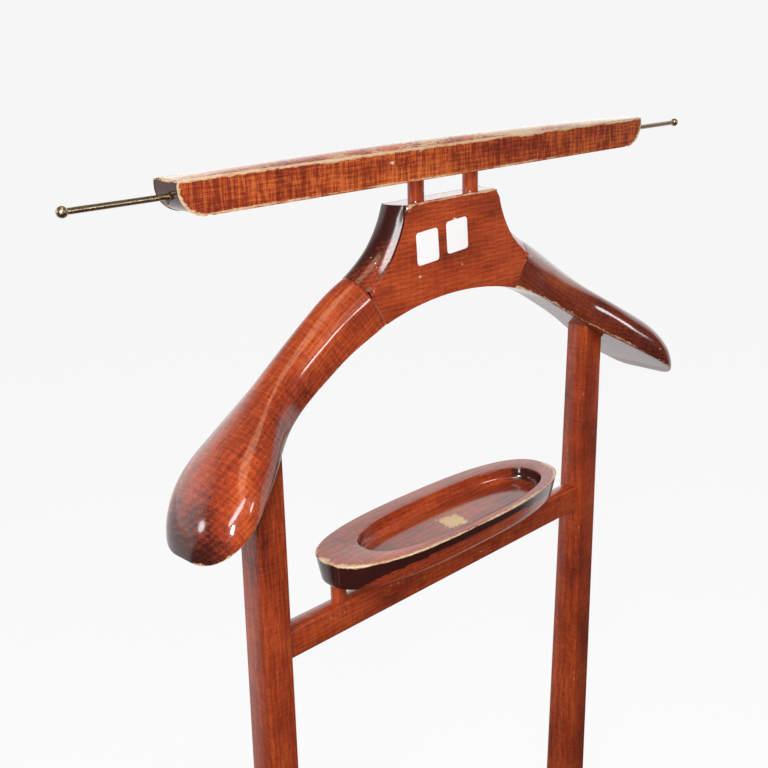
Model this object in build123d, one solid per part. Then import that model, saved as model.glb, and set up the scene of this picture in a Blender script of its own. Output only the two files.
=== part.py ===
from build123d import *
import os
from math import cos, pi, sin

# A wooden valet stand: a trouser bar on two dowels over a coat hanger, two uprights with a
# rail and a dish tray between them, and a low base with two feet and a pair of shoe rails.
# Brass tie rods slide out of both ends of the bar.
# Origin: on the floor, midway between the feet. X runs along the bar, the front faces -Y.

# ---- driving dimensions, mm ----
BAR_LENGTH = 430.0
BAR_DEPTH = 22.0
BAR_ARRIS_Z = 1074.0                  # the straight long edges of the bar's top
BAR_BOTTOM_Z = BAR_ARRIS_Z - 18.8
BAR_CROWN_MID = 4.0                   # the top swells above its long edges, most at mid length
BAR_CROWN_END = 1.2
BAR_END_ROUND = (18.0, 15.5)          # run and rise of the rounded lower corners

ROD_R = 1.7
ROD_Z = BAR_ARRIS_Z - 8.4
ROD_LENGTH = 170.0                    # from the ball's centre to the inner end
BALL_R = 3.05
BALL_X = {"left": 275.8, "right": 282.6}   # how far each rod stands drawn out at rest
ROD_BORE_R = 2.5
ROD_BORE_END_X = 44.0
COLLAR_R = 2.42                       # the stop collar runs in the bore with 0.08 mm to spare
COLLAR_LENGTH = 4.0
FERRULE_BORE_R = 1.75                 # the rod runs in the ferrule with 0.05 mm to spare
FERRULE_LENGTH = 12.0
STAR_R = 4.2
STAR_ROOT_R = 2.6                        # the notches between the star's points
STAR_SEAT_GAP = 0.2
STAR_THICK = 0.6
STAR_POINTS = 4

YOKE_DEPTH = 19.2
YOKE_TOP_Z = 1039.9
YOKE_SWELL_Y = 6.4                    # the depth at which the sides bulge most
YOKE_SIDE_POWER = 2.2                 # the sides stay full and turn in late, near the front
YOKE_BACK_ROUND = 1.2
YOKE_REACH = 104.0                    # the uncut blank runs on past the seams
# The right side at its fullest: X, Z, the outward direction there in X and Z, and how far the
# front arris lies inside it.
YOKE_SIDE = (
    (48.9, 1039.9, 1.0, 0.0, 7.0), (53.4, 1029.3, 0.94, 0.34, 8.3), (59.6, 1019.4, 0.8, 0.6, 9.8),
    (67.7, 1010.4, 0.68, 0.73, 11.4), (80.0, 1001.2, 0.55, 0.83, 12.6), (104.0, 986.6, 0.53, 0.85, 13.0),
)
BAR_DOWEL_X = 26.6
DOWEL_R = 5.4                         # the four turned dowels that can be seen
BAR_DOWEL_BITE = 10.0                 # how far a dowel goes up into the bar
YOKE_DOWEL_BITE = 24.0                # and down into the yoke

SEAM_FOOT = (64.9, 967.4)             # the slanted glue seam between yoke and arm, in X and Z
SEAM_DIR = (0.527, 0.850)
ARM_END_X = 236.2
ARM_NOSE_X = 197.2                    # from here the arm closes to its rounded nose
NOSE_POWER = 2.4
NOSE_LIFT = 5.6                       # the underside rises this much to the nose
ARM_SECTION_POWER = 2.8               # squareness of the domed section

UPRIGHT_TOP_X = (154.5, 176.8)        # inner and outer face at the arm
UPRIGHT_FOOT_X = (156.4, 173.3)
UPRIGHT_TOP_Y = (-8.8, 9.0)           # front and back face at the arm
UPRIGHT_FOOT_Y = (-6.9, 31.0)
UPRIGHT_TOP_Z = 914.0
UPRIGHT_FOOT_Z = 48.0
UPRIGHT_AXIS_X = 165.0
UPRIGHT_ROUND = 1.6

RAIL_Y = 2.1
RAIL_DEPTH = 13.8
RAIL_Z = (763.0, 784.0)
RAIL_CROWN = 3.0
RAIL_ROUND = 1.5
TRAY_CENTRE = (-2.4, -0.9)
TRAY_RIM_Z = 817.3
TRAY_BOTTOM_Z = 798.6
TRAY_HALF = (115.4, 37.2)
TRAY_FOOT_HALF = (112.0, 32.5)        # the sides lean in to a smaller underside
TRAY_POWER = 2.6
POOL_CENTRE = (4.0, -4.8)
POOL_HALF = (90.0, 26.8)
POOL_POWER = 2.6
POOL_DEPTH = 10.0
POOL_FLOOR_ROUND = 5.0
TRAY_DOWEL_X = 105.0
TRAY_DOWEL_BITE = 7.0
RAIL_DOWEL_BITE = 8.0

FOOT_THICK = 24.0
FOOT_LENGTH = 300.0
FOOT_TOE_Z = 24.0
FOOT_ARCH_Z = 17.0
FOOT_FLAT_Y = (-22.0, 46.0)              # the level stretch that carries the upright
FOOT_BACK_SLOPE = (100.0, 40.0)          # a point in Y and Z that each fall passes through
FOOT_FRONT_SLOPE = (-90.0, 40.5)
FOOT_TOE_ROUND = 6.0
FOOT_PAD = 46.0                       # length of each pad that carries a glide
SHOE_RAIL_Y = 92.0
SHOE_RAIL_Z = (19.0, 37.0)
GLIDE_R = 8.0
GLIDE_THICK = 3.0
GLIDE_Y = 128.0
GLIDE_CHAMFER = 0.6
NAIL_R = 1.0
NAIL_HEAD_R = 2.6
NAIL_HEAD_Z = (1.0, 2.0)                 # underside and top of the nail's head
NAIL_LENGTH = 14.0

HIDDEN_DOWEL_R = 4.0
ARM_DOWEL_R = 3.0
HIDDEN_DOWEL_LENGTH = 32.0
ARM_DOWEL_PLACES = (7.5, 20.5)           # how far up the seam the two arm dowels stand
TOP_DOWEL_Y = -1.0
FOOT_DOWEL_Y = (2.0, 22.0)
DOWEL_DEPTH_DOWN, DOWEL_DEPTH_UP = 18.0, 16.0   # below and above the joint in the uprights' dowels

LABEL_SIZE = (20.5, 21.5)
LABEL_ROUND = 2.5
LABEL_THICK = 0.2
LABELS = ((-26.3, 1011.2, 4.0), (2.3, 1014.6, 4.0))   # centre X, centre Z, tilt in degrees

SIDES = {"left": -1, "right": 1}


def rod(radius, start, end):
    """A round bar from one point to another."""
    start, end = Vector(*start), Vector(*end)
    return Solid.make_cylinder(radius, (end - start).length, Plane(origin=start, z_dir=end - start))


def oval(half, power, centre=(0.0, 0.0), count=12):
    """A closed smooth oval, squarer than an ellipse as its power rises above two."""
    points = []
    for step in range(count * 4):
        angle = pi * step / (2 * count)
        c, s = cos(angle), sin(angle)
        x = half[0] * abs(c) ** (2 / power) * (1 if c >= 0 else -1)
        y = half[1] * abs(s) ** (2 / power) * (1 if s >= 0 else -1)
        points.append((centre[0] + x, centre[1] + y))
    return Spline(*points, periodic=True)


def side_board(outline, y_from, y_to):
    """A board cut to an outline drawn in X and Z, from one Y to another."""
    face = Plane.XZ * make_face(outline)
    return Pos(0, y_from, 0) * extrude(face, -(y_to - y_from))


# ---- trouser bar ----

def bar_section(x, crown):
    front, back = -BAR_DEPTH / 2, BAR_DEPTH / 2
    low, high = BAR_BOTTOM_Z, BAR_ARRIS_Z
    outline = Polyline((front, high), (front, low), (back, low), (back, high))
    top = ThreePointArc((back, BAR_ARRIS_Z), (0, BAR_ARRIS_Z + crown), (front, BAR_ARRIS_Z))
    return Plane(origin=(x, 0, 0), x_dir=(0, 1, 0), z_dir=(1, 0, 0)) * make_face([outline, top])


def bar_outline():
    """The bar from the front: a long rectangle with its two lower corners rounded."""
    half, top = BAR_LENGTH / 2, BAR_ARRIS_Z + BAR_CROWN_MID + 1
    run, rise = BAR_END_ROUND
    shoulder = BAR_BOTTOM_Z + rise
    right = EllipticalCenterArc((half - run, shoulder), run, rise, 270, arc_size=90)
    left = EllipticalCenterArc((run - half, shoulder), run, rise, 180, arc_size=90)
    return [
        Line((half - run, BAR_BOTTOM_Z), (run - half, BAR_BOTTOM_Z)),
        left,
        Line((-half, shoulder), (-half, top)),
        Line((-half, top), (half, top)),
        Line((half, top), (half, shoulder)),
        right,
    ]


def make_bar():
    stations = [-1, -0.6, 0, 0.6, 1]
    swell = BAR_CROWN_MID - BAR_CROWN_END
    sections = [bar_section(s * BAR_LENGTH / 2, BAR_CROWN_END + swell * (1 - s * s)) for s in stations]
    return loft(sections) & side_board(bar_outline(), -BAR_DEPTH, BAR_DEPTH)


def make_bar_dowel(side):
    x = side * BAR_DOWEL_X
    return rod(DOWEL_R, (x, 0, YOKE_TOP_Z - YOKE_DOWEL_BITE), (x, 0, BAR_BOTTOM_Z + BAR_DOWEL_BITE))


# ---- sliding tie rods ----

def make_rod(side, ball_x):
    return rod(ROD_R, (side * (ball_x - ROD_LENGTH), 0, ROD_Z), (side * ball_x, 0, ROD_Z))


def make_ball(side, ball_x):
    return Pos(side * ball_x, 0, ROD_Z) * Sphere(BALL_R) - make_rod(side, ball_x)


def make_collar(side, ball_x):
    inner = ball_x - ROD_LENGTH + 0.5
    ring = rod(COLLAR_R, (side * inner, 0, ROD_Z), (side * (inner + COLLAR_LENGTH), 0, ROD_Z))
    return ring - make_rod(side, ball_x)


def make_ferrule(side):
    """A tube in the bar's end with a four-pointed star washer let in flush round the rod."""
    end = BAR_LENGTH / 2
    tube = rod(ROD_BORE_R, (side * (end - STAR_THICK - FERRULE_LENGTH), 0, ROD_Z), (side * end, 0, ROD_Z))
    star = []
    for step in range(2 * STAR_POINTS):
        reach = STAR_R if step % 2 == 0 else STAR_ROOT_R
        angle = pi * step / STAR_POINTS
        star.append((reach * sin(angle), ROD_Z + reach * cos(angle)))
    end_face = Plane(origin=(side * end, 0, 0), x_dir=(0, 1, 0), z_dir=(1, 0, 0))
    plate = extrude(end_face * make_face(Polyline(*star, close=True)), -side * STAR_THICK)
    hole = rod(FERRULE_BORE_R, (side * (end - 2 * FERRULE_LENGTH), 0, ROD_Z), (side * (end + 5), 0, ROD_Z))
    return (plate + tube) - hole


def rod_pocket(side):
    """The bore for rod and collar, and the shallow round seat for the star washer."""
    end = BAR_LENGTH / 2
    bore = rod(ROD_BORE_R, (side * ROD_BORE_END_X, 0, ROD_Z), (side * (end + 1), 0, ROD_Z))
    seat = rod(STAR_R + STAR_SEAT_GAP, (side * (end - STAR_THICK), 0, ROD_Z), (side * (end + 1), 0, ROD_Z))
    return bore + seat


# ---- hanger: yoke and shoulder arms ----

def arch_z(x):
    """Height of the hanger's underside, one smooth arch over yoke and arms."""
    return 977.1 - 0.00205 * x * x - 3.3e-8 * x ** 4


def seam_point(along):
    return (SEAM_FOOT[0] + along * SEAM_DIR[0], SEAM_FOOT[1] + along * SEAM_DIR[1])


def beyond_seam(side):
    """A big block on the arm's side of the glue seam."""
    low, high = seam_point(-200), seam_point(120)
    corners = [low, high, (400, high[1]), (400, low[1])]
    return side_board([Polyline(*[(side * x, z) for x, z in corners], close=True)], -80, 80)


def yoke_section(y):
    """The yoke's outline at one depth. Its sides bulge from the front arris to near the back."""
    back_from_swell = (YOKE_SWELL_Y - y) / (YOKE_SWELL_Y + YOKE_DEPTH / 2)
    right = []
    for x, z, nx, nz, swell in YOKE_SIDE:
        if back_from_swell > 0:
            inset = swell * back_from_swell ** YOKE_SIDE_POWER
        else:
            inset = YOKE_BACK_ROUND * (y - YOKE_SWELL_Y) / (YOKE_DEPTH / 2 - YOKE_SWELL_Y)
        right.append((x - inset * nx, z - inset * nz))
    left = [(-x, z) for x, z in reversed(right)]
    reach_x, reach_z = right[-1]
    outline = [
        Line(left[-1], right[0]),
        Spline(*right),
        Line((reach_x, reach_z), (YOKE_REACH, arch_z(YOKE_REACH))),
        Spline(*[(x * YOKE_REACH, arch_z(x * YOKE_REACH)) for x in (1, 0.6, 0.3, 0, -0.3, -0.6, -1)]),
        Line((-YOKE_REACH, arch_z(YOKE_REACH)), (-reach_x, reach_z)),
        Spline(*left),
    ]
    return Pos(0, y, 0) * (Plane.XZ * make_face(outline))


def make_yoke():
    half = YOKE_DEPTH / 2
    depths = [-half, -half + 2.5, -half + 6.5, -half + 11, YOKE_SWELL_Y, half]
    return loft([yoke_section(y) for y in depths]) - beyond_seam(1) - beyond_seam(-1)


def blend(x, stations):
    """The value at x on straight lines between a few (x, value) stations."""
    for (x0, v0), (x1, v1) in zip(stations, stations[1:]):
        if x <= x1:
            t = max(0.0, (x - x0) / (x1 - x0))
            return v0 + (v1 - v0) * t
    return stations[-1][1]


# The arms' shape at a few distances from the middle: (X, value) pairs
ARM_UNDER_Z = (
    (60, 970.0), (90, 958.4), (110, 947.7), (150, 923.6), (185, 901.0), (220, 877.2), (236, 862.9)
)
ARM_HALF_WIDTH = (
    (60, 10.4), (80, 12.2), (110, 12.8), (150, 16.4), (185, 28.0), (210, 35.2), (236, 38.4)
)
ARM_HEIGHT = ((60, 32.4), (90, 30.2), (120, 29.2), (150, 29.8), (185, 30.8), (236, 31.5))
ARM_TOP_LEAN = ((60, 0.24), (100, 0.18), (150, 0.0), (236, 0.0))   # how steeply the top rises to the back
ARM_AXIS_Y = ((60, 0.5), (80, 1.6), (110, 3.0), (150, 1.4), (185, -6.8), (220, -14.5), (236, -15.4))


def arm_section(x, side):
    """One domed section of a shoulder arm: flat underneath, round on top, closing at the nose."""
    t = max(0.0, (x - ARM_NOSE_X) / (ARM_END_X - ARM_NOSE_X))
    closing = (1 - t ** NOSE_POWER) ** (1 / NOSE_POWER)
    base = blend(x, ARM_UNDER_Z) + (1 - closing) * NOSE_LIFT
    half, height = blend(x, ARM_HALF_WIDTH) * closing, blend(x, ARM_HEIGHT) * closing
    axis, lean = blend(x, ARM_AXIS_Y), blend(x, ARM_TOP_LEAN)
    dome = []
    for step in range(9):
        c, s = cos(pi * step / 8), abs(sin(pi * step / 8))
        across = half * abs(c) ** (2 / ARM_SECTION_POWER) * (1 if c >= 0 else -1)
        rise = s ** (2 / ARM_SECTION_POWER)
        dome.append((axis + across, base + (height + lean * across) * rise))
    top = Spline(*dome, tangents=[(0, 1), (0, -1)])
    flat = Line(dome[-1], dome[0])
    return Plane(origin=(side * x, 0, 0), x_dir=(0, 1, 0), z_dir=(1, 0, 0)) * make_face([top, flat])


def make_arm(side):
    stations = [58, 75, 95, 115, 135, 155, 172, 187, 201, 213, 223, 230.5, 234.8]
    return loft([arm_section(x, side) for x in stations]) & beyond_seam(side)


def make_arm_dowels(side):
    pins = []
    for along in ARM_DOWEL_PLACES:
        x, z = seam_point(along)
        dx, dz = SEAM_DIR[1] * HIDDEN_DOWEL_LENGTH / 2, -SEAM_DIR[0] * HIDDEN_DOWEL_LENGTH / 2
        pins.append(rod(ARM_DOWEL_R, (side * (x - dx), 0, z - dz), (side * (x + dx), 0, z + dz)))
    return pins


# ---- uprights ----

def upright_face(z):
    t = (UPRIGHT_TOP_Z - z) / (UPRIGHT_TOP_Z - UPRIGHT_FOOT_Z)
    corners = []
    for top, foot in zip(UPRIGHT_TOP_X + UPRIGHT_TOP_Y, UPRIGHT_FOOT_X + UPRIGHT_FOOT_Y):
        corners.append(top + (foot - top) * t)
    inner, outer, front, back = corners
    corner_points = [(inner, front), (outer, front), (outer, back), (inner, back)]
    return Plane(origin=(0, 0, z)) * make_face(Polyline(*corner_points, close=True))


def make_upright(side):
    post = loft([upright_face(UPRIGHT_FOOT_Z), upright_face(UPRIGHT_TOP_Z + 20)])
    long_edges = [e for e in post.edges() if e.length > 200]
    post = fillet(long_edges, UPRIGHT_ROUND)
    under = [(x, z) for x, z in ARM_UNDER_Z if 100 < x < 230]
    above = side_board([Polyline(*under, (under[-1][0], 1000), (under[0][0], 1000), close=True)], -60, 60)
    post = post - above
    return post if side > 0 else mirror(post, about=Plane.YZ)


def make_upright_top_dowel(side):
    x = side * UPRIGHT_AXIS_X
    y, middle = TOP_DOWEL_Y, blend(UPRIGHT_AXIS_X, ARM_UNDER_Z)
    return rod(HIDDEN_DOWEL_R, (x, y, middle - DOWEL_DEPTH_DOWN), (x, y, middle + DOWEL_DEPTH_UP))


def make_upright_foot_dowels(side):
    x = side * UPRIGHT_AXIS_X
    low, high = UPRIGHT_FOOT_Z - DOWEL_DEPTH_DOWN, UPRIGHT_FOOT_Z + DOWEL_DEPTH_UP
    return [rod(HIDDEN_DOWEL_R, (x, y, low), (x, y, high)) for y in FOOT_DOWEL_Y]


# ---- tray and its rail ----

def crowned_rail(inner_x, y, z_range, depth, crown):
    """A straight rail between two faces, with a domed top and softened lower edges."""
    low, high = z_range
    spring = high - crown
    front, back = y - depth / 2, y + depth / 2
    outline = Polyline((front, spring), (front, low), (back, low), (back, spring))
    top = ThreePointArc((back, spring), (y, high), (front, spring))
    face = Plane(origin=(-inner_x, 0, 0), x_dir=(0, 1, 0), z_dir=(1, 0, 0)) * make_face([outline, top])
    rail = extrude(face, 2 * inner_x)
    return fillet([e for e in rail.edges() if e.length > 100 and e.center().Z < low + 1], RAIL_ROUND)


def tray_rail_end_x():
    """Half length of the rail: the uprights' inner face at the rail's height."""
    t = (UPRIGHT_TOP_Z - sum(RAIL_Z) / 2) / (UPRIGHT_TOP_Z - UPRIGHT_FOOT_Z)
    return UPRIGHT_TOP_X[0] + (UPRIGHT_FOOT_X[0] - UPRIGHT_TOP_X[0]) * t


def make_tray_rail(posts):
    return crowned_rail(tray_rail_end_x() + 2, RAIL_Y, RAIL_Z, RAIL_DEPTH, RAIL_CROWN) - posts


def make_tray_rail_dowel(side):
    x, z = side * tray_rail_end_x(), sum(RAIL_Z) / 2 - 1
    half = HIDDEN_DOWEL_LENGTH / 2
    return rod(HIDDEN_DOWEL_R, (x - half, RAIL_Y, z), (x + half, RAIL_Y, z))


def make_tray():
    rim = Pos(*TRAY_CENTRE, TRAY_RIM_Z) * make_face(oval(TRAY_HALF, TRAY_POWER))
    foot = Pos(*TRAY_CENTRE, TRAY_BOTTOM_Z) * make_face(oval(TRAY_FOOT_HALF, TRAY_POWER))
    dish = loft([foot, rim])
    mouth = Pos(*POOL_CENTRE, TRAY_RIM_Z - POOL_DEPTH) * make_face(oval(POOL_HALF, POOL_POWER))
    pool = extrude(mouth, POOL_DEPTH + 5)
    floor_edge = pool.edges().sort_by(Axis.Z)[0]
    return dish - fillet([floor_edge], POOL_FLOOR_ROUND)


def make_tray_dowel(side):
    x = side * TRAY_DOWEL_X
    low, high = RAIL_Z[1] - RAIL_CROWN - RAIL_DOWEL_BITE, TRAY_BOTTOM_Z + TRAY_DOWEL_BITE
    return rod(DOWEL_R, (x, RAIL_Y, low), (x, RAIL_Y, high))


# ---- base ----

def foot_outline():
    """A foot from the side, drawn in Y and Z: arched below, falling to both toes above."""
    half, pad_end = FOOT_LENGTH / 2, FOOT_LENGTH / 2 - FOOT_PAD
    flat_front, flat_back = FOOT_FLAT_Y
    low, toe, top = GLIDE_THICK, FOOT_TOE_Z, UPRIGHT_FOOT_Z
    return [
        Line((-half, low), (-pad_end, low)),
        ThreePointArc((-pad_end, low), (0, FOOT_ARCH_Z), (pad_end, low)),
        Line((pad_end, low), (half, low)),
        Line((half, low), (half, toe)),
        Spline((half, toe), FOOT_BACK_SLOPE, (flat_back, top), tangents=[(-1, 0.45), (-1, 0.02)]),
        Line((flat_back, top), (flat_front, top)),
        Spline((flat_front, top), FOOT_FRONT_SLOPE, (-half, toe), tangents=[(-1, -0.02), (-1, -0.45)]),
        Line((-half, toe), (-half, low)),
    ]


def make_foot(side):
    start = side * UPRIGHT_AXIS_X - FOOT_THICK / 2
    face = Plane(origin=(start, 0, 0), x_dir=(0, 1, 0), z_dir=(1, 0, 0)) * make_face(foot_outline())
    foot = extrude(face, FOOT_THICK)
    toes = foot.edges().filter_by(Axis.X).group_by(Axis.Y)
    return fillet([e for e in toes[0] + toes[-1] if e.center().Z > FOOT_ARCH_Z / 2], FOOT_TOE_ROUND)


def foot_inner_x():
    return UPRIGHT_AXIS_X - FOOT_THICK / 2


def make_shoe_rail(side_y):
    return crowned_rail(foot_inner_x(), side_y * SHOE_RAIL_Y, SHOE_RAIL_Z, RAIL_DEPTH, RAIL_CROWN)


def make_shoe_rail_dowels(side_y):
    half, y, z = HIDDEN_DOWEL_LENGTH / 2, side_y * SHOE_RAIL_Y, sum(SHOE_RAIL_Z) / 2
    pins = []
    for side in SIDES.values():
        x = side * foot_inner_x()
        pins.append(rod(HIDDEN_DOWEL_R, (x - half, y, z), (x + half, y, z)))
    return pins


def glide_places():
    return [(side * UPRIGHT_AXIS_X, end * GLIDE_Y) for side in SIDES.values() for end in (-1, 1)]


def make_nails():
    """One nail up the middle of each glide, its flat head sunk into the glide."""
    low, high = NAIL_HEAD_Z
    nails = []
    for x, y in glide_places():
        head = rod(NAIL_HEAD_R, (x, y, low), (x, y, high))
        nails.append(head + rod(NAIL_R, (x, y, high), (x, y, NAIL_LENGTH)))
    return nails


def make_glides(nails):
    """Thick plastic discs, softened round the face that slides on the floor."""
    glides = []
    for (x, y), nail in zip(glide_places(), nails):
        disc = rod(GLIDE_R, (x, y, 0), (x, y, GLIDE_THICK))
        disc = chamfer([disc.edges().sort_by(Axis.Z)[0]], GLIDE_CHAMFER)
        glides.append(disc - nail - rod(NAIL_HEAD_R, (x, y, -1), (x, y, sum(NAIL_HEAD_Z) / 2)))
    return glides


# ---- paper labels on the yoke's front ----

def make_labels():
    labels = []
    for x, z, tilt in LABELS:
        sheet = Plane(origin=(x, -YOKE_DEPTH / 2, z), x_dir=(1, 0, 0), z_dir=(0, -1, 0))
        paper = sheet * Rot(0, 0, tilt) * RectangleRounded(*LABEL_SIZE, LABEL_ROUND)
        labels.append(extrude(paper, LABEL_THICK))
    return labels


# ---- the whole stand ----

def cut(body, *tools):
    """The body with each tool, or each solid of a list of tools, taken out of it."""
    for tool in tools:
        for solid in tool if isinstance(tool, list) else [tool]:
            body = body - solid
    return body


def build():
    nodes = {"trouser_bar": make_bar(), "yoke": make_yoke(), "tray": make_tray()}
    for name, side in SIDES.items():
        nodes[f"bar_dowel_{name}"] = make_bar_dowel(side)
        nodes[f"tie_rod_{name}"] = make_rod(side, BALL_X[name])
        nodes[f"rod_ball_{name}"] = make_ball(side, BALL_X[name])
        nodes[f"rod_collar_{name}"] = make_collar(side, BALL_X[name])
        nodes[f"rod_ferrule_{name}"] = make_ferrule(side)
        nodes[f"arm_dowels_{name}"] = make_arm_dowels(side)
        nodes[f"upright_top_dowel_{name}"] = make_upright_top_dowel(side)
        nodes[f"upright_foot_dowels_{name}"] = make_upright_foot_dowels(side)
        nodes[f"tray_rail_dowel_{name}"] = make_tray_rail_dowel(side)
        nodes[f"tray_dowel_{name}"] = make_tray_dowel(side)
        nodes[f"shoulder_arm_{name}"] = make_arm(side)
        nodes[f"upright_{name}"] = make_upright(side)
        nodes[f"foot_{name}"] = make_foot(side)
        nodes["trouser_bar"] = cut(nodes["trouser_bar"], rod_pocket(side), nodes[f"bar_dowel_{name}"])
        nodes["yoke"] = cut(nodes["yoke"], nodes[f"bar_dowel_{name}"], nodes[f"arm_dowels_{name}"])
        nodes["tray"] = cut(nodes["tray"], nodes[f"tray_dowel_{name}"])
    nodes["tray_rail"] = make_tray_rail([nodes["upright_left"], nodes["upright_right"]])
    for name, side_y in {"front": -1, "back": 1}.items():
        nodes[f"shoe_rail_{name}"] = make_shoe_rail(side_y)
        nodes[f"shoe_rail_dowels_{name}"] = make_shoe_rail_dowels(side_y)
    nodes["glide_nails"] = make_nails()
    nodes["foot_glides"] = make_glides(nodes["glide_nails"])
    nodes["price_labels"] = make_labels()
    for name in SIDES:
        top, foot_pins = nodes[f"upright_top_dowel_{name}"], nodes[f"upright_foot_dowels_{name}"]
        rail_pin = nodes[f"tray_rail_dowel_{name}"]
        shoe_pins = nodes["shoe_rail_dowels_front"] + nodes["shoe_rail_dowels_back"]
        nodes[f"shoulder_arm_{name}"] = cut(
            nodes[f"shoulder_arm_{name}"], nodes[f"arm_dowels_{name}"], top, nodes[f"upright_{name}"]
        )
        nodes[f"upright_{name}"] = cut(nodes[f"upright_{name}"], top, foot_pins, rail_pin)
        nodes[f"foot_{name}"] = cut(nodes[f"foot_{name}"], foot_pins, shoe_pins, nodes["glide_nails"])
        nodes["tray_rail"] = cut(nodes["tray_rail"], rail_pin, nodes[f"tray_dowel_{name}"])
    for name in ("front", "back"):
        nodes[f"shoe_rail_{name}"] = cut(nodes[f"shoe_rail_{name}"], nodes[f"shoe_rail_dowels_{name}"])
    return nodes


os.makedirs("parts", exist_ok=True)
for node, shape in build().items():
    solids = shape if isinstance(shape, list) else [shape]
    export_step(Compound(children=[s for shape in solids for s in shape.solids()]), f"parts/{node}.step")
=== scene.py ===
# %% [markdown]
# # A wooden valet stand
# A trouser bar stands on two dowels over a carved coat hanger. The hanger is a flat yoke with two
# shoulder arms, and it rides on two tapered uprights that carry a dish tray on a rail. Below is a
# low base with two feet and two shoe rails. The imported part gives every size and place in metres,
# so this script only puts finer shapes and finishes on it.

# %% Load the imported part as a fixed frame
import math

import bmesh
import bpy
from mathutils import Euler, Matrix, Vector


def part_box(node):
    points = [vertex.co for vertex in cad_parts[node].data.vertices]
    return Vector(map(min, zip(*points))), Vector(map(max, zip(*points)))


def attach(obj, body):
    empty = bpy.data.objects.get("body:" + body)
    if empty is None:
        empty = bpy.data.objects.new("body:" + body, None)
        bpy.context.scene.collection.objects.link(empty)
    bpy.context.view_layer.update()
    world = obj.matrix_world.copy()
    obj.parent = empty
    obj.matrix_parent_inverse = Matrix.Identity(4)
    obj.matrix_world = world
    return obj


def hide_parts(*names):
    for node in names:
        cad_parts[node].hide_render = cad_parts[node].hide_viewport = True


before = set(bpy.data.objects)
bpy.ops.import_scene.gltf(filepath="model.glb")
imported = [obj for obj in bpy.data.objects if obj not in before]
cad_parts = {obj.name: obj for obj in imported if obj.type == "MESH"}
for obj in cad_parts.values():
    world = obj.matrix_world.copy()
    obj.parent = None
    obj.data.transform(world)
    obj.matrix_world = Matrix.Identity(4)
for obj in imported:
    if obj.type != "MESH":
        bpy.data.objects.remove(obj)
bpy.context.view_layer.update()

MM = 0.001

# %% [markdown]
# ## Camera
# The stand is seen from its left front corner, a little above the bar, with a normal lens. The eye
# point is measured from the stand's own origin on the floor, and the small roll comes from a
# camera held in the hand. The matrix is built from three directions rather than from angles, so
# that the order of the turns can't be mistaken.

# %% Place the camera
EYE = Vector((-0.54351, -0.49050, 1.14894))
YAW, PITCH, ROLL = math.radians(44.6135), math.radians(18.0541), math.radians(-1.4686)
LENS, SENSOR = 51.91, 36.0

forward = Vector((math.sin(YAW) * math.cos(PITCH), math.cos(YAW) * math.cos(PITCH), -math.sin(PITCH)))
level = Vector((math.cos(YAW), -math.sin(YAW), 0.0))
rise = level.cross(forward)
right = math.cos(ROLL) * level + math.sin(ROLL) * rise
up = -math.sin(ROLL) * level + math.cos(ROLL) * rise

camera = bpy.data.objects.new("camera", bpy.data.cameras.new("camera"))
camera.data.lens, camera.data.sensor_width = LENS, SENSOR
camera.data.clip_start, camera.data.clip_end = 0.05, 200.0
camera.matrix_world = Matrix((
    (right.x, up.x, -forward.x, EYE.x),
    (right.y, up.y, -forward.y, EYE.y),
    (right.z, up.z, -forward.z, EYE.z),
    (0, 0, 0, 1),
))
bpy.context.scene.collection.objects.link(camera)
bpy.context.scene.camera = camera
bpy.context.scene.view_settings.view_transform = "Standard"
print("camera at", EYE[:], "looking", [round(v, 3) for v in forward])

# %% [markdown]
# ## Node helpers
# Every finish, the room and the turned pegs are node trees. Clicking them together is easy to get
# wrong and hard to read back, so a few small functions write them as sums instead. An input may be
# a plain value or another node's output.


# %% One node, and a colour ramp
def add_node(tree, kind, inputs=None, **settings):
    """Adds a node. An input is a plain value or another node's output socket."""
    node = tree.nodes.new(kind)
    for name, value in settings.items():
        setattr(node, name, value)
    for name, value in (inputs or {}).items():
        socket = node.inputs[name]
        if isinstance(value, bpy.types.NodeSocket):
            tree.links.new(value, socket)
        else:
            socket.default_value = value
    return node


def ramp(tree, factor, *stops):
    """A colour ramp from (place, grey or colour) stops; returns its colour output."""
    node = add_node(tree, "ShaderNodeValToRGB", {"Fac": factor})
    points = node.color_ramp.elements
    while len(points) < len(stops):
        points.new(0.5)
    for point, (place, colour) in zip(points, stops):
        grey = isinstance(colour, (int, float))
        point.position, point.color = place, (colour, colour, colour, 1) if grey else (*colour, 1)
    return node.outputs["Color"]


# %% Sums and mixes of node outputs
def maths(tree, operation, a, b=0.0, within=0.001, clamp=False):
    """One sum. Only COMPARE reads within, which is how far apart a and b may be."""
    node = add_node(tree, "ShaderNodeMath", operation=operation, use_clamp=clamp)
    for socket, value in zip(node.inputs, (a, b, within)):
        if isinstance(value, bpy.types.NodeSocket):
            tree.links.new(value, socket)
        else:
            socket.default_value = value
    return node.outputs[0]


def mix_colour(tree, factor, a, b):
    """Colour a where the factor is 0 and b where it is 1."""
    node = add_node(tree, "ShaderNodeMix", data_type="RGBA", clamp_factor=True)
    for socket, value in ((node.inputs[0], factor), (node.inputs[6], a), (node.inputs[7], b)):
        if isinstance(value, bpy.types.NodeSocket):
            tree.links.new(value, socket)
        else:
            socket.default_value = (*value, 1)
    return node.outputs[2]


def reach_along(tree, vector, axis):
    """How far a vector reaches along an axis."""
    inputs = {0: vector, 1: axis}
    return add_node(tree, "ShaderNodeVectorMath", inputs, operation="DOT_PRODUCT").outputs["Value"]


# %% [markdown]
# ## Room
# Lacquer shows its surroundings, so the room matters as much as the wood. The wall behind the stand
# is bright and gives the tops their pale sheen, and the side the eye stands on is dim, which keeps
# the front faces deep red. A picture of a room would do this too, but a ramp along one direction is
# enough and easy to change. The camera itself sees only a plain pale backdrop.

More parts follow.
